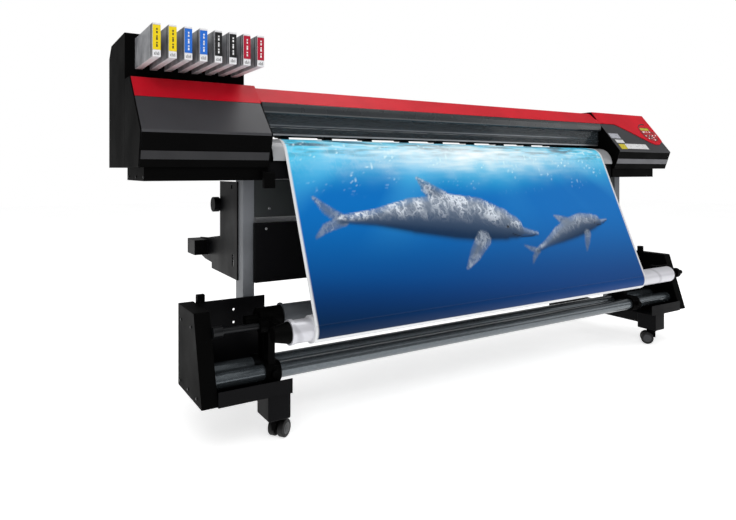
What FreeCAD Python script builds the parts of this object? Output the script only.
import FreeCAD, Part
import math
import os
import re

import Sketcher

# Wide-format roll printer and cutter on a castered stand, with a rear media holder and a
# motorised take-up unit in front.  Millimetres; X runs along the machine (+X is the operator's
# right), -Y is the operator's side, Z is up, and the origin is under the middle on the floor.

doc = FreeCAD.newDocument("PrinterCutter")

# Driving dimensions: alias, value, meaning.
SIZES = [
    ("overallWidth", 2575, "width over both end covers"),
    ("overallDepth", 795, "take-up roll front to media holder rear"),
    ("overallHeight", 1270, "floor to the top of the ink housing"),
    ("wall", 4, "thickness of the moulded covers"),
    ("gap", 0.5, "clearance between parts that move past each other"),
    # Body cross-section
    ("innerLeft", -884, "inner face of the left housing"),
    ("innerRight", 875, "inner face of the right housing"),
    ("slopeY", -47, "upper edge of the sloping fronts"),
    ("slopeZ", 1121, "upper edge of the sloping fronts"),
    ("noseY", -211, "lower edge of the sloping fronts"),
    ("noseLeftZ", 947, "lower edge of the left slope"),
    ("noseRightZ", 925, "lower edge of the right slope"),
    ("chinY", -181, "front of the housings' underside"),
    ("chinZ", 841, "underside of the housings"),
    ("backLeftY", 29, "rear of the left front cover, front of the ink housing"),
    ("backRightY", 210, "rear of the right cover"),
    ("middleZ", 1113, "top of the middle cover"),
    ("lipY", -105.5, "lower edge of the middle cover"),
    ("lipZ", 1060.5, "lower edge of the middle cover"),
    ("middleBackY", 140, "rear of the middle cover"),
    ("trimDrop", 67, "height of the coloured band on the left slope"),
    ("bodyBottom", 803, "underside of the chassis"),
    ("stepZ", 860, "top of the chassis' front step"),
    # Front cover
    ("windowY", -93, "front of the clear window"),
    ("windowThick", 3, "thickness of the clear window"),
    ("windowTop", 1022, "where the window enters the cover's grip"),
    ("windowBottom", 953, "lower edge of the window"),
    ("gripY", -111, "front of the cover's rounded grip"),
    ("gripRound", 9, "rounding of the grip"),
    # Bed
    ("bedZ", 937, "top of the platen"),
    ("bedThick", 10, "thickness of the platen"),
    ("bedLeft", -870, "left end of the platen"),
    ("bedRight", 862, "right end of the platen"),
    ("apronY", -105, "where the front apron starts to curve"),
    ("rearApronY", 110, "where the rear apron starts to curve"),
    ("apronRadius", 74, "radius of both aprons"),
    ("apronThick", 3, "sheet thickness of the aprons"),
    ("slotFront", 20, "front of the feed slot in the platen"),
    ("slotRear", 52, "rear of the feed slot in the platen"),
    ("feedRadius", 12, "radius of the grit rings"),
    ("feedCoreRadius", 9, "radius of the feed shaft between rings"),
    ("ringLength", 40, "length of a grit ring"),
    ("ringPitch", 180, "distance from one grit ring to the next"),
    ("filmGap", 0.3, "film above the metal it runs on"),
    ("filmThick", 0.6, "thickness of the film"),
    ("filmLeft", -828, "left edge of the film"),
    ("filmRight", 796, "right edge of the film"),
    # Carriages and their rail
    ("railFront", -22, "front face of the guide rail"),
    ("railRear", 14, "rear face of the guide rail"),
    ("railBottom", 985, "underside of the guide rail"),
    ("railTop", 1080, "top of the guide rail"),
    ("carriageFront", -86, "front face of the carriages"),
    ("printX", 1080, "parked centre of the print carriage"),
    ("printWidth", 130, "width of the print carriage"),
    ("cutX", -1050, "parked centre of the cutting carriage"),
    ("cutWidth", 80, "width of the cutting carriage"),
    ("bladeRadius", 8, "radius of the blade holder"),
    ("bladeY", -58, "axis of the blade holder"),
    # Ink
    ("inkRight", -893, "right face of the ink housing"),
    ("inkRear", 332, "rear of the ink housing"),
    ("inkFlat", 286, "rear edge of the ink housing's flat top"),
    ("inkRearZ", 1231, "height of the ink housing's rear wall"),
    ("inkBottom", 841, "underside of the ink housing"),
    ("tankX", -1256, "left face of the first cartridge"),
    ("tankPitch", 45, "distance from one cartridge to the next"),
    ("tankWidth", 23, "width of a cartridge"),
    ("tankFront", -220, "front face of the cartridges"),
    ("tankInsert", 70, "depth of a cartridge in its slot"),
    ("tankBottom", 1156, "underside of the cartridges"),
    ("tankTop", 1253, "top of the cartridges"),
    # Stand
    ("columnLeft", -915, "centre of the left column"),
    ("columnRight", 1045, "centre of the right column"),
    ("columnWidth", 40, "column along X"),
    ("columnDepth", 70, "column along Y"),
    ("columnY", -40, "centre of the columns"),
    ("columnTop", 800, "top of the columns"),
    ("footLeft", -900, "centre of the left foot"),
    ("footRight", 1055, "centre of the right foot"),
    ("footWidth", 50, "width of the feet"),
    ("footFront", -300, "front end of the feet"),
    ("footRear", 345, "rear end of the feet"),
    ("footBottom", 70, "underside of the feet"),
    ("footTop", 150, "top of the feet"),
    ("panelBottom", 455, "lower edge of the cross panel"),
    ("panelTop", 655, "upper edge of the cross panel"),
    ("beamBottom", 672, "lower edge of the cross beam"),
    ("boxBottom", 800, "underside of the boxes below the housings"),
    # Casters
    ("casterFront", -262, "front casters' swivel axis"),
    ("casterRear", 302, "rear casters' swivel axis"),
    ("wheelRadius", 28, "caster wheel radius"),
    ("wheelWidth", 20, "width of one of a caster's two wheels"),
    ("trail", 26, "wheel axle behind the swivel axis"),
    ("casterBody", 12, "thickness of the caster's middle body"),
    ("axleRadius", 4, "caster axle radius"),
    # Take-up unit
    ("caseLeft", -1142, "outer face of the left take-up case"),
    ("caseRight", 1252, "outer face of the right take-up case"),
    ("caseWidth", 48, "width of the take-up cases"),
    ("caseBottom", 152, "underside of the take-up cases"),
    ("caseTop", 411, "top of the take-up cases"),
    ("caseRear", -53, "rear of the take-up cases"),
    ("caseFront", -228, "front of the cases at their top"),
    ("caseToe", -310, "front of the cases at their foot"),
    ("plateY", -84, "front of the upright bracket plates"),
    ("trayBottom", 150, "underside of the bracket trays"),
    ("trayLip", 195, "top of the trays' front lip"),
    ("pipeRadius", 25, "radius of the two cross pipes"),
    ("pipeZ", 203, "axis of the cross pipes"),
    ("pipeFront", -236, "axis of the front cross pipe"),
    ("pipeRear", -144, "axis of the rear cross pipe"),
    ("rollY", -355, "axis of the take-up roll"),
    ("rollZ", 350, "axis of the take-up roll"),
    ("rollRadius", 42.5, "radius of the wound film"),
    ("coreRadius", 35, "outer radius of the paper core"),
    ("coreBore", 32, "inner radius of the paper core"),
    ("coreLeft", -885, "left end of the core"),
    ("coreRight", 1026, "right end of the core"),
    ("flangeRadius", 38, "radius of the core's drive flange"),
    ("shaftY", -249, "axis of the drive shaft"),
    ("shaftZ", 353, "axis of the drive shaft"),
    ("shaftRadius", 10, "radius of the drive shaft"),
    ("guideY", -186, "axis of the guide tube"),
    ("guideZ", 360, "axis of the guide tube"),
    ("guideRadius", 37, "radius of the guide tube"),
    ("guideDisc", 42, "radius of the guide tube's end discs"),
    ("guideLeft", -850, "left end of the guide tube"),
    ("guideRight", 884, "right end of the guide tube"),
    ("clampWidth", 50, "width of the arm clamps"),
    ("leftClamp", -905, "centre of the left clamp"),
    ("rightClamp", 924, "centre of the right clamp"),
    ("headLeft", -948, "left face of the left arm head"),
    ("headRight", -898, "right face of the left arm head"),
    ("holderRadius", 27, "radius of the right core holder's knob"),
    ("holderLength", 20, "length of the right core holder's knob"),
    ("holderArm", 1078, "left face of the right core holder's arm"),
    ("bracketLeftEnd", -862, "inner end of the left bracket"),
    ("bracketRightEnd", 977, "inner end of the right bracket"),
    ("fixingRadius", 4, "radius of the brackets' fixing holes"),
    ("clampWall", 9, "wall of the clamps around the cross pipes"),
    ("saddleRise", 32, "top of the clamps' saddle above the pipe axis"),
    ("armWidth", 24, "width of the guide tube's arms"),
    ("armDepth", 40, "depth of the guide tube's arms"),
    ("knobRadius", 12, "radius of the clamp knobs"),
    ("bearingRadius", 22, "radius of the shaft bearings"),
    ("stayRadius", 15, "radius of the stays and stubs"),
    ("holderPlate", 20, "thickness of the right core holder's arm"),
    ("postLeft", 15, "drive post's left face from the left clamp's centre"),
    ("postRight", 7, "drive post's right face from the left clamp's centre"),
    ("switchSize", 24, "width of the sensor box on the left bracket"),
    ("switchHeight", 26, "height of the box and the knob on the take-up unit"),
    # Rear media holder
    ("supplyY", 330, "axis of the supply roll"),
    ("supplyZ", 540, "axis of the supply roll"),
    ("supplyRadius", 57, "radius of the supply roll"),
    ("supplyFlange", 65, "radius of the supply roll's end flanges"),
    ("supplyShaft", 14, "radius of the supply roll's shaft"),
    ("bracketThick", 5, "thickness of the rear brackets"),
    ("holderKnobRadius", 27, "radius of the rear holder's locking knobs"),
    ("holderKnobLength", 22, "length of the rear holder's locking knobs"),
    ("holderKnobY", 166, "axis of the rear holder's locking knobs"),
    ("holderKnobZ", 708, "axis of the rear holder's locking knobs"),
    ("holderBlock", 50, "width of the end blocks on the rear holder"),
    ("leverLeft", -908, "left face of the loading lever"),
    ("leverWidth", 38, "width of the loading lever"),
    ("leverY", -186, "axis of the loading lever"),
    ("leverZ", 818, "axis of the loading lever"),
    # Control panel, measured down the slope from its upper edge
    ("panelThick", 3, "how far the control cover stands off the slope"),
    ("keyRadius", 7, "radius of the small keys"),
    ("cursorRadius", 17, "radius of the cursor key"),
    ("keyHeight", 4.5, "how far the keys stand off the slope"),
]

sheet = doc.addObject("Spreadsheet::Sheet", "Dims")
for row, (alias, value, meaning) in enumerate(SIZES, start=1):
    sheet.set(f"A{row}", alias)
    sheet.set(f"B{row}", str(value))
    sheet.setAlias(f"B{row}", alias)
    sheet.set(f"C{row}", meaning)
doc.recompute()
VALUES = {alias: float(value) for alias, value, meaning in SIZES}


def ref(text):
    """Turns the aliases in an expression into references to the sheet."""
    def swap(match):
        return "Dims." + match.group(0) if match.group(0) in VALUES else match.group(0)
    return re.sub(r"[A-Za-z]\w*", swap, str(text))


probe = doc.addObject("App::FeaturePython", "Probe")
probe.addProperty("App::PropertyFloat", "Value")


def number(text):
    """The value that an expression has now."""
    probe.setExpression("Value", ref(text))
    probe.recompute()
    return float(probe.Value)


# --- primitives whose sizes and places are bound to the sheet -----------------------------


def place(thing, x, y, z):
    for axis, text in (("x", x), ("y", y), ("z", z)):
        thing.setExpression(f"Placement.Base.{axis}", ref(text))
    return thing


def block(name, x, y, z):
    """A block between two values along each axis."""
    thing = doc.addObject("Part::Box", name)
    for size, (low, high) in (("Length", x), ("Width", y), ("Height", z)):
        thing.setExpression(size, ref(f"({high}) - ({low})"))
    return place(thing, x[0], y[0], z[0])


TURNS = {"x": ((0, 1, 0), 90), "y": ((1, 0, 0), -90), "z": ((0, 0, 1), 0)}


def rod(name, axis, radius, low, high, across, up):
    """A cylinder along an axis, from low to high, through (across, up) in the other two."""
    thing = doc.addObject("Part::Cylinder", name)
    thing.setExpression("Radius", ref(radius))
    thing.setExpression("Height", ref(f"({high}) - ({low})"))
    direction, angle = TURNS[axis]
    turn = FreeCAD.Rotation(FreeCAD.Vector(*direction), angle)
    thing.Placement = FreeCAD.Placement(FreeCAD.Vector(0, 0, 0), turn)
    spots = {"x": (low, across, up), "y": (across, low, up), "z": (across, up, low)}
    return place(thing, *spots[axis])


def cut(name, base, tool):
    thing = doc.addObject("Part::Cut", name)
    thing.Base = base
    thing.Tool = tool
    return thing


def join(name, things):
    thing = doc.addObject("Part::MultiFuse", name)
    thing.Shapes = things
    return thing


def common(name, things):
    thing = doc.addObject("Part::MultiCommon", name)
    thing.Shapes = things
    return thing


def group(name, things):
    """Separate solids of one kind that share a node."""
    thing = doc.addObject("Part::Compound", name)
    thing.Links = things
    return thing


# --- bodies made from sketched outlines ---------------------------------------------------

PLANES = {"x": "YZ_Plane", "y": "XZ_Plane", "z": "XY_Plane"}


def sketch_on(body, axis, offset, corners):
    """A closed outline of straight sides, each corner held by the sheet's values."""
    role = PLANES[axis]
    plane = next(f for f in body.Origin.OriginFeatures if f.Role == role)
    sketch = body.newObject("Sketcher::SketchObject", "Outline")
    sketch.AttachmentSupport = (plane, [""])
    sketch.MapMode = "FlatFace"
    sketch.setExpression("AttachmentOffset.Base.z", ref(offset))
    points = [FreeCAD.Vector(number(a), number(b), 0) for a, b in corners]
    count = len(points)
    for i in range(count):
        sketch.addGeometry(Part.LineSegment(points[i], points[(i + 1) % count]), False)
    for i in range(count):
        following = (i + 1) % count
        sketch.addConstraint(Sketcher.Constraint("Coincident", i, 2, following, 1))
    for i, (a, b) in enumerate(corners):
        for kind, text in (("DistanceX", a), ("DistanceY", b)):
            rule = Sketcher.Constraint(kind, -1, 1, i, 1, number(text))
            index = sketch.addConstraint(rule)
            sketch.setExpression(f"Constraints[{index}]", ref(text))
    return sketch


def prism(name, axis, low, high, corners):
    """A body padded from low to high along an axis."""
    body = doc.addObject("PartDesign::Body", name)
    # The XZ plane faces -Y, so an offset along it is counted backwards.
    offset = f"-({high})" if axis == "y" else low
    outline = sketch_on(body, axis, offset, corners)
    pad = body.newObject("PartDesign::Pad", "Pad")
    pad.Profile = outline
    pad.setExpression("Length", ref(f"({high}) - ({low})"))
    doc.recompute()
    return body


def round_edges(body, radius, wanted):
    """Fillets the edges of the body's last feature whose middle point passes the test."""
    last = body.Tip
    names = []
    for index, edge in enumerate(last.Shape.Edges, start=1):
        middle = edge.CenterOfMass
        if wanted(edge, middle):
            names.append(f"Edge{index}")
    fillet = body.newObject("PartDesign::Fillet", "Rounding")
    fillet.Base = (last, names)
    fillet.setExpression("Radius", ref(radius))
    body.Tip = fillet
    doc.recompute()
    return body


def hollow(body, thickness, open_face):
    """Turns the body into a shell, with the faces that pass the test left open."""
    last = body.Tip
    names = []
    for index, face in enumerate(last.Shape.Faces, start=1):
        normal = face.normalAt(0, 0)
        if open_face(normal, face.CenterOfMass):
            names.append(f"Face{index}")
    shell = body.newObject("PartDesign::Thickness", "Shell")
    shell.Base = (last, names)
    shell.setExpression("Value", ref(thickness))
    shell.Reversed = True
    shell.Join = "Intersection"
    body.Tip = shell
    doc.recompute()
    return body


def along_x(edge, spot_y, spot_z, reach=1.0):
    """True for an edge along X that passes close to a place in the cross-section."""
    middle = edge.CenterOfMass
    straight = edge.BoundBox.YLength < 0.01 and edge.BoundBox.ZLength < 0.01
    return straight and math.hypot(middle.y - spot_y, middle.z - spot_z) < reach


NODES = []


def node(thing, label):
    """Gives a finished sub-part its label and lists it for writing."""
    thing.Label = label
    NODES.append(thing)
    return thing


# --- housings ------------------------------------------------------------------------------

LEFT_END = "-overallWidth / 2"
RIGHT_END = "overallWidth / 2"


def housing_outline(nose_height, rear):
    """Side view of an end housing: sloping front, undercut chin, flat underside."""
    return [("slopeY", "slopeZ"), ("noseY", nose_height), ("chinY", "chinZ"),
            (rear, "chinZ"), (rear, "slopeZ")]


def wall_with_window(name, low, high, nose_height, rear):
    """An inner wall of a housing, open where the carriages and their rail pass."""
    plate = prism(name, "x", low, high, housing_outline(nose_height, rear))
    opening = block(name + "Opening", (f"{low} - 1", f"{high} + 1"), (-96, 22), (939, 1090))
    return cut(name + "Cut", plate, opening)


def make_housings():
    slope = "(slopeY - noseY) / (slopeZ - noseLeftZ)"
    trim_y = f"slopeY - trimDrop * {slope}"
    trim_z = "slopeZ - trimDrop"
    left_low, left_high = f"{LEFT_END} + wall", "innerLeft - wall"
    cover = prism("LeftCover", "x", left_low, left_high,
                  [(trim_y, trim_z), ("noseY", "noseLeftZ"), ("chinY", "chinZ"),
                   ("backLeftY", "chinZ"), ("backLeftY", trim_z)])
    nose_y, nose_z = number("noseY"), number("noseLeftZ")
    round_edges(cover, 10, lambda e, m: along_x(e, nose_y, nose_z))
    hollow(cover, "wall", lambda n, c: abs(n.x) > 0.9 or n.z > 0.99
           or (n.y > 0.99 and c.z > nose_z))
    node(cover, "left_cover")

    trim = prism("LeftTrim", "x", left_low, "innerLeft",
                 [(trim_y, f"{trim_z} + 0.8"), ("slopeY", "slopeZ"),
                  ("backLeftY", "slopeZ"), ("backLeftY", f"{trim_z} + 0.8")])
    top_y, top_z = number("slopeY"), number("slopeZ")
    round_edges(trim, 8, lambda e, m: along_x(e, top_y, top_z))
    hollow(trim, "wall", lambda n, c: abs(n.x) > 0.9 or n.z < -0.99 or n.y > 0.99)
    node(trim, "left_top_trim")

    right = prism("RightCover", "x", "innerRight + wall", f"{RIGHT_END} - wall",
                  housing_outline("noseRightZ", "backRightY"))
    nose_right_z = number("noseRightZ")
    round_edges(right, 10, lambda e, m: along_x(e, nose_y, nose_right_z))
    round_edges(right, 8, lambda e, m: along_x(e, top_y, top_z))
    hollow(right, "wall", lambda n, c: abs(n.x) > 0.9)
    node(right, "right_cover")

    ends = [prism("LeftEnd", "x", LEFT_END, f"{LEFT_END} + wall",
                  housing_outline("noseLeftZ", "backLeftY")),
            prism("RightEnd", "x", f"{RIGHT_END} - wall", RIGHT_END,
                  housing_outline("noseRightZ", "backRightY"))]
    node(group("EndPanels", ends), "end_panels")
    trim_slot = block("TrimRoom", ("innerLeft - wall - 1", "innerLeft + 1"),
                      ("noseY", "backLeftY + 1"), (f"{trim_z} - 2", "slopeZ + 1"))
    inner_left = cut("InnerLeftLow",
                     wall_with_window("InnerLeft", "innerLeft - wall", "innerLeft",
                                      "noseLeftZ", "backLeftY"), trim_slot)
    inner_right = wall_with_window("InnerRight", "innerRight", "innerRight + wall",
                                   "noseRightZ", "backRightY")
    node(group("InnerWalls", [inner_left, inner_right]), "inner_walls")

    boxes = []
    for name, low, high in (("LeftBox", "-1270", "innerLeft - 2"),
                            ("RightBox", "innerRight", "1198")):
        tub = prism(name, "z", "boxBottom", "chinZ",
                    [(low, -171), (high, -171), (high, 82), (low, 82)])
        hollow(tub, 3, lambda n, c: n.z > 0.99)
        boxes.append(tub)
    lugs = [block("LugOuter", ("leverLeft - gap - 5", "leverLeft - gap"),
                  ("leverY - 12", -170), ("leverZ - 12", "leverZ + 12")),
            block("LugBack", ("leverLeft - gap - 5", "innerLeft - 2"),
                  (-172, -169), ("leverZ - 12", "leverZ + 12"))]
    boxes[0] = join("LeftBoxLugs", [boxes[0]] + lugs)
    node(group("LowerBoxes", boxes), "lower_boxes")

    top = prism("TopCover", "x", "innerLeft", "innerRight",
                [("lipY", "lipZ"), ("slopeY", "middleZ"), ("middleBackY", "middleZ"),
                 ("middleBackY", "lipZ")])
    middle_z, back_y = number("middleZ"), number("middleBackY")
    round_edges(top, 8, lambda e, m: along_x(e, top_y, middle_z) or along_x(e, back_y, middle_z))
    hollow(top, "wall", lambda n, c: abs(n.x) > 0.9 or n.z < -0.99)
    node(top, "top_cover")
    rear = block("RearCover", ("innerLeft", "innerRight"),
                 ("middleBackY - wall", "middleBackY"), ("bedZ + 22", "lipZ"))
    node(rear, "rear_cover")


# --- hinged front cover ---------------------------------------------------------------------


def make_front_cover():
    low, high = "innerLeft + 4", "innerRight - 4"
    window_back = "windowY + windowThick"
    grip = prism("Grip", "x", low, high,
                 [("lipY - 0.5", "lipZ - 1"), ("gripY", "lipZ - 14"), ("gripY", "windowTop + 3"),
                  ("windowY - 4", "windowTop - 2"), ("windowY", "windowTop - 2"),
                  ("windowY", "windowTop + 8"), (window_back, "windowTop + 8"),
                  (window_back, "windowTop - 2"), (f"{window_back} + 3", "windowTop - 2"),
                  (f"{window_back} + 3", "lipZ - 1")])
    front, low_z, high_z = number("gripY"), number("windowTop + 3"), number("lipZ - 14")
    round_edges(grip, "gripRound",
                lambda e, m: along_x(e, front, low_z) or along_x(e, front, high_z))
    node(grip, "cover_grip")
    node(block("Window", (low, high), ("windowY", window_back), ("windowBottom", "windowTop + 8")),
         "cover_window")


# --- bed, feed and media --------------------------------------------------------------------


def apron(name, centre, direction):
    """A quarter-round sheet from the platen down to the chassis' step."""
    outer = rod(name + "Outer", "x", "apronRadius", "bedLeft", "bedRight", centre,
                "bedZ - apronRadius")
    inner = rod(name + "Inner", "x", "apronRadius - apronThick", "bedLeft - 1", "bedRight + 1",
                centre, "bedZ - apronRadius")
    ring = cut(name + "Ring", outer, inner)
    span = (f"{centre} - apronRadius - 1", centre)
    if direction > 0:
        span = (centre, f"{centre} + apronRadius + 1")
    quarter = block(name + "Quarter", ("bedLeft - 2", "bedRight + 2"), span,
                    ("bedZ - apronRadius", "bedZ + 1"))
    return common(name, [ring, quarter])


def make_bed():
    under = "bedZ - bedThick"
    rear_step = "rearApronY + 61"
    chassis = prism("Chassis", "x", "innerLeft", "innerRight",
                    [(-165, "bodyBottom"), (-165, "stepZ"), ("apronY", "stepZ"),
                     ("apronY", under), ("slotFront - 4", under), ("slotFront - 4", "bedZ - 30"),
                     ("slotRear + 4", "bedZ - 30"), ("slotRear + 4", under),
                     ("rearApronY", under), ("rearApronY", "stepZ"), (rear_step, "stepZ"),
                     (rear_step, "bodyBottom")])
    hollow(chassis, 3, lambda n, c: abs(n.x) > 0.9)
    node(chassis, "chassis")
    plates = [block("PlatenFront", ("bedLeft", "bedRight"), ("apronY", "slotFront"),
                    (under, "bedZ")),
              block("PlatenRear", ("bedLeft", "bedRight"), ("slotRear", "rearApronY"),
                    (under, "bedZ"))]
    node(group("Platen", plates), "platen")
    node(group("Aprons", [apron("FrontApron", "apronY", -1), apron("RearApron", "rearApronY", 1)]),
         "media_aprons")

    axis_y, axis_z = "(slotFront + slotRear) / 2", "bedZ - filmGap - feedRadius"
    pieces = [rod("FeedCore", "x", "feedCoreRadius", "bedLeft + 2", "bedRight - 2", axis_y, axis_z)]
    for i in range(9):
        start = f"bedLeft + 110 + {i} * ringPitch"
        pieces.append(rod(f"GritRing{i}", "x", "feedRadius", start, f"{start} + ringLength",
                          axis_y, axis_z))
    node(join("FeedShaft", pieces), "feed_shaft")

    # Each pinch unit is an arm with a small roller over a grit ring.
    units = []
    for i in range(9):
        start = f"bedLeft + 112 + {i} * ringPitch"
        end = f"{start} + 36"
        wheel = rod(f"PinchWheel{i}", "x", 9, start, end, axis_y, "bedZ + filmGap * 2 + 10")
        bar = block(f"PinchArm{i}", (f"{start} + 8", f"{end} - 8"), (axis_y, 92), (952, 966))
        pivot = rod(f"PinchPivot{i}", "x", 9, f"{start} + 8", f"{end} - 8", 92, 962)
        units.append(join(f"PinchUnit{i}", [wheel, bar, pivot]))
    node(group("PinchRollers", units), "pinch_rollers")

    make_film()


def tangent(centre, radius, other, other_radius):
    """Unit normal of the outer tangent that two rollers share, on the side away from -Z."""
    dy, dz = other[0] - centre[0], other[1] - centre[1]
    length = math.hypot(dy, dz)
    dy, dz = dy / length, dz / length
    side = 1 if dy > 0 else -1
    normal = (-dz * side, dy * side)
    lean = (radius - other_radius) / length
    keep = math.sqrt(1 - lean * lean)
    return (lean * dy + keep * normal[0], lean * dz + keep * normal[1])


def make_film():
    """One closed sheet from the supply roll, over the bed, to the take-up roll."""
    size = {alias: sheet.get(alias) for alias in VALUES}
    inner = size["apronRadius"] + size["filmGap"]
    centre_z = size["bedZ"] - size["apronRadius"]
    front = (size["apronY"], centre_z)
    rear = (size["rearApronY"], centre_z)
    take_up = (size["rollY"], size["rollZ"])
    supply = (size["supplyY"], size["supplyZ"])
    take_radius = size["rollRadius"] + size["gap"]
    supply_radius = size["supplyRadius"] + size["gap"]
    front_normal = tangent(front, inner, take_up, take_radius)
    rear_normal = tangent(rear, inner, supply, supply_radius)

    def spot(centre, radius, normal):
        return FreeCAD.Vector(size["filmLeft"], centre[0] + radius * normal[0],
                              centre[1] + radius * normal[1])

    def middle(normal):
        total = (normal[0], normal[1] + 1)
        length = math.hypot(*total)
        return (total[0] / length, total[1] / length)

    def path(extra):
        """The film's cross-section on one of its two faces, from take-up to supply."""
        radius = inner + extra
        return [spot(take_up, take_radius + extra, front_normal),
                spot(front, radius, front_normal), spot(front, radius, middle(front_normal)),
                spot(front, radius, (0, 1)), spot(rear, radius, (0, 1)),
                spot(rear, radius, middle(rear_normal)), spot(rear, radius, rear_normal),
                spot(supply, supply_radius + extra, rear_normal)]

    def edges(points):
        return [Part.makeLine(points[0], points[1]),
                Part.Arc(points[1], points[2], points[3]).toShape(),
                Part.makeLine(points[3], points[4]),
                Part.Arc(points[4], points[5], points[6]).toShape(),
                Part.makeLine(points[6], points[7])]

    low, high = path(0), path(size["filmThick"])
    ends = [Part.makeLine(low[0], high[0]), Part.makeLine(low[-1], high[-1])]
    wire = Part.Wire(Part.__sortEdges__(edges(low) + edges(high) + ends))
    width = size["filmRight"] - size["filmLeft"]
    film = doc.addObject("Part::Feature", "Film")
    film.Shape = Part.Face(wire).extrude(FreeCAD.Vector(width, 0, 0))
    node(film, "media_film")
    lengths = [edge.Length for edge in edges(low)]
    print("film", round(width, 1), "x", round(sum(lengths), 1), "mm; stretches",
          [round(length, 1) for length in lengths])


# --- carriages -------------------------------------------------------------------------------


def make_carriages():
    rail = block("RailBar", (f"{LEFT_END} + wall", f"{RIGHT_END} - wall"),
                 ("railFront", "railRear"), ("railBottom", "railTop"))
    groove = block("RailGroove", (LEFT_END, RIGHT_END), ("railFront - 1", "railFront + 10"),
                   ("railBottom + 30", "railBottom + 52"))
    node(cut("Rail", rail, groove), "carriage_rail")

    def carriage(name, centre, width, bottom, top, shoe):
        half = f"{width} / 2"
        box = block(name + "Box", (f"{centre} - {half}", f"{centre} + {half}"),
                    ("carriageFront", "railFront - 1"), (bottom, top))
        runner = block(name + "Runner", (f"{centre} - {shoe}", f"{centre} + {shoe}"),
                       ("railFront - 2", "railFront + 8"), ("railBottom + 32", "railBottom + 50"))
        return join(name, [box, runner])

    node(carriage("PrintCarriage", "printX", "printWidth", "bedZ + 8", "railTop - 25", 50),
         "print_carriage")
    cutter = carriage("CutBlock", "cutX", "cutWidth", "bedZ + 28", "railTop - 35", 30)
    bore = rod("BladeBore", "z", "bladeRadius + gap", "bedZ", "railTop", "cutX", "bladeY")
    node(cut("CuttingCarriage", cutter, bore), "cutting_carriage")
    holder = rod("BladeBarrel", "z", "bladeRadius", "bedZ + 16", "railTop - 28", "cutX", "bladeY")
    tip = doc.addObject("Part::Cone", "BladeTip")
    tip.setExpression("Radius1", ref("1"))
    tip.setExpression("Radius2", ref("bladeRadius"))
    tip.setExpression("Height", ref("9"))
    place(tip, "cutX", "bladeY", "bedZ + 7")
    knob = rod("BladeKnob", "z", "bladeRadius + 3", "railTop - 29", "railTop - 17", "cutX", "bladeY")
    node(join("BladeHolder", [holder, tip, knob]), "blade_holder")


# --- ink supply ------------------------------------------------------------------------------


def make_ink():
    housing = prism("InkHousing", "x", LEFT_END, "inkRight",
                    [("backLeftY", "inkBottom"), ("backLeftY", "overallHeight"),
                     ("inkFlat", "overallHeight"), ("inkRear", "inkRearZ"),
                     ("inkRear", "inkBottom")])
    front_y, top_z = number("backLeftY"), number("overallHeight")
    flat_y = number("inkFlat")
    round_edges(housing, 6, lambda e, m: along_x(e, front_y, top_z) or along_x(e, flat_y, top_z))
    hollow(housing, "wall", lambda n, c: n.z < -0.99)
    block_pad = housing.newObject("PartDesign::Pad", "SlotBlock")
    outline = sketch_on(housing, "x", f"{LEFT_END} + 1",
                        [("backLeftY + 1", "tankBottom - 10"), ("backLeftY + 1", "tankTop + 10"),
                         ("backLeftY + tankInsert + 12", "tankTop + 10"),
                         ("backLeftY + tankInsert + 12", "tankBottom - 10")])
    block_pad.Profile = outline
    block_pad.setExpression("Length", ref(f"inkRight - 2 - ({LEFT_END})"))
    doc.recompute()
    slot_shape = sketch_on(housing, "y", "-backLeftY",
                           [("tankX - gap", "tankBottom - gap"),
                            ("tankX + tankWidth + gap", "tankBottom - gap"),
                            ("tankX + tankWidth + gap", "tankTop + gap"),
                            ("tankX - gap", "tankTop + gap")])
    slot = housing.newObject("PartDesign::Pocket", "Slot")
    slot.Profile = slot_shape
    slot.setExpression("Length", ref("tankInsert + 2"))
    doc.recompute()
    before = block_pad.Shape.Volume
    if before - slot.Shape.Volume < 1:
        slot.Reversed = True
        doc.recompute()
    pattern = housing.newObject("PartDesign::LinearPattern", "Slots")
    pattern.Originals = [slot]
    pattern.Direction = (slot_shape, ["H_Axis"])
    pattern.Occurrences = 8
    pattern.setExpression("Length", ref("tankPitch * 7"))
    housing.Tip = pattern
    doc.recompute()
    print("ink slots cut", round(before - pattern.Shape.Volume), "mm3")
    node(housing, "ink_housing")
    for i in range(8):
        left = f"tankX + {i} * tankPitch"
        tank = block(f"Tank{i + 1}", (left, f"{left} + tankWidth"),
                     ("tankFront", "backLeftY + tankInsert"), ("tankBottom", "tankTop"))
        node(tank, f"ink_cartridge_{i + 1}")


# --- stand -----------------------------------------------------------------------------------


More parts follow.
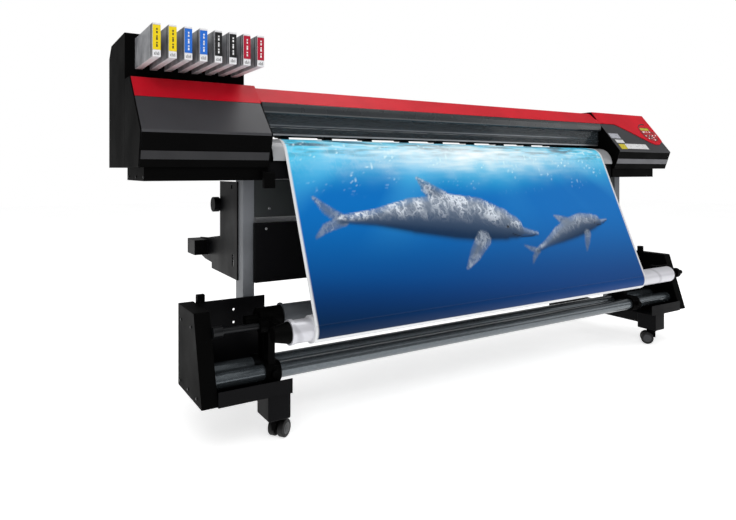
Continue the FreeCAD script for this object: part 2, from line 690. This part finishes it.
def make_stand():
    feet = []
    for side, centre in (("Left", "footLeft"), ("Right", "footRight")):
        span = (f"{centre} - footWidth / 2", f"{centre} + footWidth / 2")
        wide = (f"{centre} - footWidth / 2 - 12", f"{centre} + footWidth / 2 + 12")
        boots = [block(f"{side}FrontBoot", wide, ("footFront", "footFront + 95"),
                       ("footBottom", "footTop")),
                 block(f"{side}RearBoot", wide, ("footRear - 90", "footRear"),
                       ("footBottom", "footTop - 12"))]
        beam = block(f"{side}Foot", span, ("footFront", "footRear"),
                     ("footBottom + 22", "footTop"))
        feet.append(join(f"{side}FootUnit", [beam] + boots))
    node(group("Feet", feet), "feet")

    columns = []
    for side, centre in (("Left", "columnLeft"), ("Right", "columnRight")):
        outer = block(f"{side}Column", (f"{centre} - columnWidth / 2", f"{centre} + columnWidth / 2"),
                      ("columnY - columnDepth / 2", "columnY + columnDepth / 2"),
                      ("footTop", "columnTop"))
        bore = block(f"{side}Bore",
                     (f"{centre} - columnWidth / 2 + 4", f"{centre} + columnWidth / 2 - 4"),
                     ("columnY - columnDepth / 2 + 4", "columnY + columnDepth / 2 - 4"),
                     ("footTop - 1", "columnTop + 1"))
        columns.append(cut(f"{side}Tube", outer, bore))
    node(group("Columns", columns), "columns")
    front = "columnY - columnDepth / 2"
    node(block("CrossPanel", ("columnLeft + 15", "columnRight - 5"),
               (f"{front} - 18", front), ("panelBottom", "panelTop")), "cross_panel")
    node(block("CrossBeam", ("columnLeft + columnWidth / 2", "columnRight - columnWidth / 2"),
               (f"{front} + 3", "columnY + 28"), ("beamBottom", "boxBottom")), "cross_beam")


def swivelled(thing, x, y, angle):
    """Turns a caster's piece about its swivel axis."""
    centre = FreeCAD.Vector(number(x), number(y), 0)
    turn = FreeCAD.Rotation(FreeCAD.Vector(0, 0, 1), angle)
    thing.Placement = FreeCAD.Placement(FreeCAD.Vector(0, 0, 0), turn, centre)
    return thing


def make_caster(tag, x, y, angle):
    """A twin-wheel caster: a swivelling body with an axle and a wheel on each side."""
    half = "casterBody / 2"
    axle_y = f"{y} + trail"
    body = rod(f"CasterHub{tag}", "x", "wheelRadius - 5", f"{x} - {half}", f"{x} + {half}",
               axle_y, "wheelRadius")
    bridge = block(f"CasterBridge{tag}", (f"{x} - {half}", f"{x} + {half}"),
                   (f"{y} - 12", f"{y} + trail"), ("wheelRadius + 2", "footBottom - 6"))
    hood = rod(f"CasterTop{tag}", "z", "16", "footBottom - 10", "footBottom - gap", x, y)
    shape = join(f"CasterShape{tag}", [body, bridge, hood])
    bore = rod(f"CasterBore{tag}", "x", "axleRadius + gap", f"{x} - 20", f"{x} + 20", axle_y,
               "wheelRadius")
    fork = cut(f"CasterFork{tag}", shape, bore)
    node(swivelled(fork, x, y, angle), f"caster_body_{tag}")
    inner = f"{half} + gap"
    outer = f"{half} + gap + wheelWidth"
    wheels = [rod(f"WheelLeft{tag}", "x", "wheelRadius", f"{x} - ({outer})", f"{x} - ({inner})",
                  axle_y, "wheelRadius"),
              rod(f"WheelRight{tag}", "x", "wheelRadius", f"{x} + {inner}", f"{x} + {outer}",
                  axle_y, "wheelRadius"),
              rod(f"Axle{tag}", "x", "axleRadius", f"{x} - ({inner})", f"{x} + {inner}", axle_y,
                  "wheelRadius")]
    pair = join(f"Wheels{tag}", wheels)
    node(swivelled(pair, x, y, angle), f"caster_wheels_{tag}")


# --- take-up unit ----------------------------------------------------------------------------


def make_take_up():
    cases = []
    for name, low, high in (("LeftCase", "caseLeft", "caseLeft + caseWidth"),
                            ("RightCase", "caseRight - caseWidth", "caseRight")):
        case = prism(name, "x", low, high,
                     [("caseRear", "caseBottom"), ("caseRear", "caseTop"),
                      ("caseFront", "caseTop"), ("caseToe", "caseBottom")])
        round_edges(case, 4, lambda e, m: e.BoundBox.XLength > 10)
        cases.append(case)
    node(group("Cases", cases), "takeup_cases")

    brackets = []
    for name, low, high in (("LeftBracket", "caseLeft + caseWidth", "bracketLeftEnd"),
                            ("RightBracket", "bracketRightEnd", "caseRight - caseWidth")):
        back = block(name + "Back", (low, high), ("plateY", "plateY + 4"),
                     ("trayBottom", "caseTop"))
        tray = block(name + "Tray", (low, high), ("caseToe", "plateY + 4"),
                     ("trayBottom", "trayBottom + 3"))
        lip = block(name + "Lip", (low, high), ("caseToe", "caseToe + 3"),
                    ("trayBottom", "trayLip"))
        plate = join(name + "Sheet", [back, tray, lip])
        middle = f"({low} + {high}) / 2 + 8"
        holes = [rod(f"{name}Hole{i}", "y", "fixingRadius", "plateY - 5", "plateY + 10", middle,
                     height)
                 for i, height in enumerate((333, 375))]
        brackets.append(cut(name, plate, join(name + "Holes", holes)))
    node(group("Brackets", brackets), "takeup_brackets")

    inside = ("caseLeft + caseWidth", "caseRight - caseWidth")
    pipes = [rod("FrontPipe", "x", "pipeRadius", *inside, "pipeFront", "pipeZ"),
             rod("RearPipe", "x", "pipeRadius", *inside, "pipeRear", "pipeZ")]
    node(group("Pipes", pipes), "cross_pipes")
    make_arms()

    first, last = "caseLeft + caseWidth + gap", "headLeft - gap"
    node(join("DriveShaft",
              [rod("ShaftBar", "x", "shaftRadius", first, last, "shaftY", "shaftZ"),
               rod("ShaftCollar", "x", "shaftRadius + 7", first, f"{first} + 30", "shaftY",
                   "shaftZ")]), "drive_shaft")
    tube = join("GuideShape",
                [rod("GuideBody", "x", "guideRadius", "guideLeft", "guideRight", "guideY",
                     "guideZ"),
                 rod("GuideDiscLeft", "x", "guideDisc", "guideLeft", "guideLeft + 5", "guideY",
                     "guideZ"),
                 rod("GuideDiscRight", "x", "guideDisc", "guideRight - 5", "guideRight",
                     "guideY", "guideZ")])
    node(tube, "guide_tube")

    core = cut("CoreTube", rod("CoreOuter", "x", "coreRadius", "coreLeft", "coreRight", "rollY",
                               "rollZ"),
               rod("CoreInner", "x", "coreBore", "coreLeft", "coreRight + 1", "rollY", "rollZ"))
    flange = rod("CoreFlange", "x", "flangeRadius", "headRight + gap", "coreLeft", "rollY",
                 "rollZ")
    node(join("TakeUpCore", [core, flange]), "takeup_core")
    wound = cut("WoundShape", rod("WoundOuter", "x", "rollRadius", "filmLeft", "filmRight",
                                  "rollY", "rollZ"),
                rod("WoundInner", "x", "coreRadius", "filmLeft - 1", "filmRight + 1", "rollY",
                    "rollZ"))
    node(wound, "wound_film")
    knob_end = "coreRight + 1 + holderLength"
    holder = join("HolderShape",
                  [rod("HolderStub", "x", "coreBore - gap", "coreRight - 28", "coreRight + 2",
                       "rollY", "rollZ"),
                   rod("HolderKnob", "x", "holderRadius", "coreRight + 1", knob_end, "rollY",
                       "rollZ"),
                   rod("HolderShaft", "x", "shaftRadius", knob_end, "holderArm + 55", "rollY",
                       "rollZ")])
    node(holder, "core_holder")


def make_arms():
    """Clamps on the cross pipes, the left drive arm and the arms of the guide tube."""
    solids = []
    for side, centre, outward in (("Left", "leftClamp", -1), ("Right", "rightClamp", 1)):
        half = "clampWidth / 2"
        span = (f"{centre} - {half}", f"{centre} + {half}")
        collar = rod(f"{side}Collar", "x", "pipeRadius + clampWall", *span, "pipeFront", "pipeZ")
        saddle = block(f"{side}Saddle", span, ("pipeFront", "pipeRear"),
                       ("pipeZ + clampWall", "pipeZ + saddleRise"))
        back = rod(f"{side}BackCollar", "x", "pipeRadius + clampWall - 2", *span, "pipeRear",
                   "pipeZ")
        clamp = join(f"{side}ClampShape", [collar, saddle, back])
        for name, spot in (("Front", "pipeFront"), ("Rear", "pipeRear")):
            hole = rod(f"{side}{name}Hole", "x", "pipeRadius", f"{centre} - clampWidth",
                       f"{centre} + clampWidth", spot, "pipeZ")
            clamp = cut(f"{side}Clamp{name}", clamp, hole)
        inner = "guideLeft - gap" if outward < 0 else "guideRight + gap"
        outer = f"{centre} + {outward} * {half}"
        ends = (outer, inner) if outward < 0 else (inner, outer)
        hub = rod(f"{side}Hub", "x", "guideRadius - 2", *ends, "guideY", "guideZ")
        arm = block(f"{side}Arm", (f"{centre} - armWidth / 2", f"{centre} + armWidth / 2"),
                    ("guideY - armDepth / 2", "guideY + armDepth / 2"),
                    ("pipeZ + saddleRise - 4", "guideZ"))
        knob = rod(f"{side}ClampKnob", "y", "knobRadius", "pipeFront - 48", "pipeFront - 30",
                   centre, "pipeZ + 4")
        parts = [clamp, arm, hub, knob]
        if side == "Left":
            parts += drive_arm(centre)
        solids.append(join(f"{side}ArmUnit", parts))
    plate = ("holderArm", "holderArm + holderPlate")
    carrier = join("HolderArm",
                   [block("HolderArmBar", plate, ("rollY", "shaftY + 18"),
                          ("rollZ - holderPlate", "rollZ + holderPlate")),
                    rod("HolderArmHub", "x", "bearingRadius", *plate, "rollY", "rollZ"),
                    rod("HolderStay", "x", "stayRadius", "holderArm + holderPlate / 2",
                        "caseRight - caseWidth", "shaftY", "shaftZ")])
    socket = rod("HolderSocket", "x", "shaftRadius + gap", "holderArm - 5",
                 "holderArm + holderPlate + 5", "rollY", "rollZ")
    solids.append(cut("HolderArmBored", carrier, socket))
    sensor = block("SensorBox", ("caseLeft + caseWidth", "caseLeft + caseWidth + switchSize"),
                   ("plateY - 16", "plateY + 4"), ("caseTop", "caseTop + switchHeight"))
    cap = rod("CaseKnob", "z", "stayRadius", "caseTop", "caseTop + switchHeight",
              "caseRight - caseWidth / 2", "plateY + 2")
    node(group("Arms", solids + [sensor, cap]), "takeup_arms")


def drive_arm(centre):
    """The left arm's post, its bar out to the core axis and the core's tapered drive head."""
    thick = (f"{centre} - postLeft", f"{centre} + postRight")
    post = block("DrivePost", thick, ("shaftY - 8", "shaftY + 27"),
                 ("pipeZ + saddleRise - 5", "shaftZ + 14"))
    bar = block("DriveBar", thick, ("rollY", "shaftY + 70"), ("rollZ - 17", "rollZ + 19"))
    head = doc.addObject("Part::Cone", "DriveHead")
    head.setExpression("Radius1", ref("coreRadius - 13"))
    head.setExpression("Radius2", ref("coreRadius - 2"))
    head.setExpression("Height", ref("headRight - headLeft"))
    head.Placement = FreeCAD.Placement(FreeCAD.Vector(0, 0, 0),
                                       FreeCAD.Rotation(FreeCAD.Vector(0, 1, 0), 90))
    place(head, "headLeft", "rollY", "rollZ")
    bearing = rod("DriveBearing", "x", "bearingRadius", "headLeft", "headRight - 8", "shaftY", "shaftZ")
    stub = rod("GuideStub", "x", "stayRadius", f"{centre} - 66", centre, "guideY", "guideZ")
    return [post, bar, head, bearing, stub]


# --- rear media holder -----------------------------------------------------------------------


def make_media_holder():
    inner_left = "columnLeft - columnWidth / 2"
    inner_right = "columnRight + columnWidth / 2"
    rear = "overallDepth / 2"
    outline = [("columnY + 10", 793), (151, 793), (151, 594), (300, 574), (rear, 567),
               (rear, 500), (330, 488), (250, 484), (250, 462), ("columnY + 10", 458)]
    plates = [prism("LeftHolder", "x", f"{inner_left} - bracketThick", inner_left, outline),
              prism("RightHolder", "x", inner_right, f"{inner_right} + bracketThick", outline)]
    arms = []
    for name, plate, low, high, knob_end in (
            ("Left", plates[0], f"{inner_left} - bracketThick - holderBlock",
             f"{inner_left} - bracketThick", f"{inner_left} - bracketThick - holderKnobLength"),
            ("Right", plates[1], f"{inner_right} + bracketThick",
             f"{inner_right} + bracketThick + holderBlock",
             f"{inner_right} + bracketThick + holderKnobLength")):
        ledge = block(name + "EndBlock", (low, high), (300, rear), (508, 565))
        face = high if name == "Left" else low
        ends = (knob_end, face) if name == "Left" else (face, knob_end)
        knob = rod(name + "HolderKnob", "x", "holderKnobRadius", *ends, "holderKnobY",
                   "holderKnobZ")
        through = (f"{low} - holderBlock", f"{high} + holderBlock")
        holes = join(name + "HolderHoles",
                     [block(name + "HolderEye", through, (16, 28), (768, 781)),
                      block(name + "HolderSlot", through, (7, 20), (502, 542))])
        arms.append(cut(name + "HolderArm", join(name + "HolderSolid", [plate, ledge, knob]),
                        holes))
    node(group("MediaHolder", arms), "media_holder")
    roll = [rod("SupplyFilm", "x", "supplyRadius", "filmLeft", "filmRight", "supplyY",
                "supplyZ"),
            rod("SupplyFlangeLeft", "x", "supplyFlange", "filmLeft - 12", "filmLeft", "supplyY",
                "supplyZ"),
            rod("SupplyFlangeRight", "x", "supplyFlange", "filmRight", "filmRight + 12",
                "supplyY", "supplyZ"),
            rod("SupplyBar", "x", "supplyShaft", f"{inner_left} + gap", f"{inner_right} - gap",
                "supplyY", "supplyZ")]
    node(join("SupplyRoll", roll), "supply_roll")


# --- controls --------------------------------------------------------------------------------

# Keys on the control cover: name, X, distance down the slope, radius.
KEYS = [("key_function", 1167, 130, "keyRadius"), ("key_menu", 1250, 129, "keyRadius"),
        ("key_cursor", 1212, 156, "cursorRadius"), ("key_pause", 1251, 168, "keyRadius")]


def slope_placement():
    """Frame on the right slope: X along the machine, Y up the slope, Z out of it."""
    rise = number("slopeZ - noseRightZ")
    run = number("slopeY - noseY")
    turn = FreeCAD.Rotation(FreeCAD.Vector(1, 0, 0), math.degrees(math.atan2(rise, run)))
    return FreeCAD.Placement(FreeCAD.Vector(0, number("slopeY"), number("slopeZ")), turn)


def on_slope(thing, shift):
    frame = slope_placement()
    thing.Placement = frame.multiply(FreeCAD.Placement(FreeCAD.Vector(*shift),
                                                       FreeCAD.Rotation()))
    return thing


def make_controls():
    end = RIGHT_END
    outline = [("innerRight", -2), (end, -2), (end, -150), (1284, -184), (1242, -207),
               (1205, -208), (1173, -193), (1060, -120), (1008, -89), (985, -78),
               ("innerRight", -78)]
    plate = prism("ControlPlate", "z", 0, "panelThick", outline)
    holes = []
    for name, x, down, radius in KEYS:
        hole = doc.addObject("Part::Cylinder", name + "Hole")
        hole.setExpression("Radius", ref(f"{radius} + gap"))
        hole.Height = 40
        hole.Placement = FreeCAD.Placement(FreeCAD.Vector(x, -down, -20), FreeCAD.Rotation())
        holes.append(hole)
    display_room = block("DisplayRoom", (1172, 1248), (-113, -93), (-1, 10))
    cover = cut("ControlCover", plate, join("KeyHoles", holes + [display_room]))
    on_slope(cover, (0, 0, 0.2))
    node(cover, "control_cover")
    display = block("Display", ("1172 + gap", "1248 - gap"), ("-113 + gap", "-93 - gap"),
                    (0, 2))
    display.setExpression("Placement.Base.x", None)
    display.setExpression("Placement.Base.y", None)
    display.setExpression("Placement.Base.z", None)
    on_slope(display, (1172.5, -112.5, 0.2))
    node(display, "control_display")
    for name, x, down, radius in KEYS:
        key = doc.addObject("Part::Cylinder", name)
        key.setExpression("Radius", ref(radius))
        key.setExpression("Height", ref("keyHeight - 2"))
        on_slope(key, (x, -down, 2))
        node(key, name)

    # The media loading lever turns between two lugs below the left housing.
    span = ("leverLeft", "leverLeft + leverWidth")
    grip = block("LeverGrip", span, ("leverY - 10", "leverY + 9"), ("leverZ - 44", "leverZ"))
    barrel = rod("LeverBarrel", "x", 10, *span, "leverY", "leverZ")
    node(join("LoadingLever", [grip, barrel]), "loading_lever")
    inlet = block("InletBody", (1150, 1200), ("backRightY", "backRightY + 12"), (868, 900))
    mouth = block("InletMouth", (1156, 1194), ("backRightY + 3", "backRightY + 13"), (874, 894))
    node(cut("PowerInlet", inlet, mouth), "power_inlet")


make_housings()
make_front_cover()
make_bed()
make_carriages()
make_ink()
make_stand()
# Each caster stands as it was last rolled, so each has its own angle about its swivel axis.
for tag, foot, line, angle in (("front_left", "footLeft", "casterFront", -54),
                               ("front_right", "footRight", "casterFront", 40),
                               ("rear_left", "footLeft", "casterRear", -25),
                               ("rear_right", "footRight", "casterRear", 62)):
    make_caster(tag, foot, line, angle)
make_take_up()
make_media_holder()
make_controls()
doc.recompute()

for thing in doc.Objects:
    if "Invalid" in thing.State or "Error" in thing.State:
        raise RuntimeError(f"{thing.Name} ({thing.Label}) failed: {thing.State}")
for thing in NODES:
    if thing.Shape.isNull() or not thing.Shape.isValid():
        raise RuntimeError(f"{thing.Label} has no valid shape")

os.makedirs("parts", exist_ok=True)
for thing in NODES:
    thing.Shape.exportStep(f"parts/{thing.Label}.step")
box = FreeCAD.BoundBox()
for thing in NODES:
    box.add(thing.Shape.BoundBox)
print(len(NODES), "nodes;", box)
